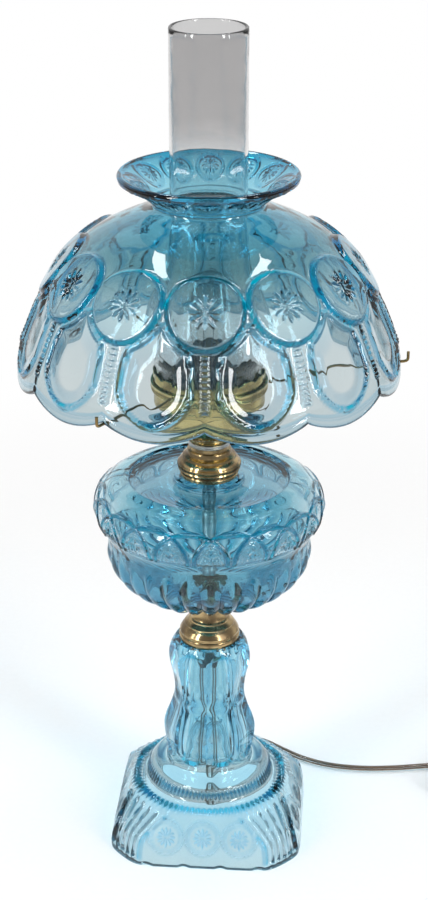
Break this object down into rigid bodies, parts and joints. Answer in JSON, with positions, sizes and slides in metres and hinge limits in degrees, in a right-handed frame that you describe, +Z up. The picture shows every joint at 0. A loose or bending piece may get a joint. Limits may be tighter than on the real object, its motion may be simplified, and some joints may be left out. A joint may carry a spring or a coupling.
{
  "type": "electric table lamp",
  "caption": "Table lamp of oil-lamp form in pressed blue glass: square foot, stem, font, brass burner socket, wire-held scalloped shade and clear chimney, with its cord and plug.",
  "frame": {"origin": "middle of the square foot on the table, under the rod's axis", "axes": "+Z up the rod's axis, -Y to the front, +X to the key"},
  "size_m": [0.3791, 0.2566, 0.5869],
  "materials": {
    "pressed_glass": "smooth pale blue pressed glass",
    "chimney_glass": "clear blown glass",
    "bulb_glass": "clear blown glass",
    "brass": "aged lacquered brass",
    "dark_brass": "darkened brass",
    "steel": "zinc-plated",
    "phenolic": "moulded black phenolic",
    "paperboard": "varnished insulating board",
    "cord_jacket": "clear flexible plastic"
  },
  "bodies": {
    "lamp": {"pedestal": "pressed_glass", "threaded_rod": "steel", "stem_washer": "brass", "stem_nut": "brass", "font_washer": "brass", "font_nut": "brass", "burner_nut": "brass", "rod_bushing": "phenolic", "bell_connector": "brass", "font": "pressed_glass", "font_collar": "brass", "check_ring": "steel", "burner_bowl": "brass", "burner_gallery": "brass", "burner_deck": "brass", "holder_ring": "brass", "holder_arm_1": "brass", "holder_arm_2": "brass", "holder_arm_3": "brass", "socket_shell": "brass", "switch_block": "phenolic", "socket_liner": "paperboard", "socket_screw_shell": "steel", "socket_contact": "brass", "cord_inner": "cord_jacket", "cord_run": "cord_jacket", "cord_coil": "cord_jacket", "cord_tie": "phenolic", "cord_tail": "cord_jacket", "plug_body": "phenolic", "plug_blade_left": "brass", "plug_blade_right": "brass"},
    "shade": {"shade": "pressed_glass"},
    "chimney": {"chimney": "chimney_glass"},
    "key": {"key_shaft": "dark_brass", "key_wheel": "dark_brass"},
    "bulb_contact": {"bulb_contact": "steel"},
    "bulb": {"bulb_cap": "brass", "bulb_glass": "bulb_glass", "bulb_mount": "bulb_glass", "bulb_filament": "dark_brass"}
  },
  "joints": [
    {"name": "shade_lift", "type": "slide", "parent": "lamp", "child": "shade", "axis": [0, 0, 1], "range_m": [0, 0.245]},
    {"name": "chimney_lift", "type": "slide", "parent": "lamp", "child": "chimney", "axis": [0, 0, 1], "range_m": [0, 0.045]},
    {"name": "key_turn", "type": "hinge", "parent": "lamp", "child": "key", "pos_m": [0.04492, 0.00259, 0.3242], "axis": [0.9983, 0.0576, 0], "continuous": true},
    {"name": "bulb_rise", "type": "slide", "parent": "lamp", "child": "bulb_contact", "axis": [0, 0, 1], "range_m": [0, 0.0163]},
    {"name": "bulb_turn", "type": "hinge", "parent": "bulb_contact", "child": "bulb", "pos_m": [0, 0, 0.34], "axis": [0, 0, 1], "range_deg": [0, 1620]}
  ],
  "couplings": [
    {"joint": "bulb_turn", "follows": "bulb_rise", "rad_per_m": 1731.7}
  ]
}
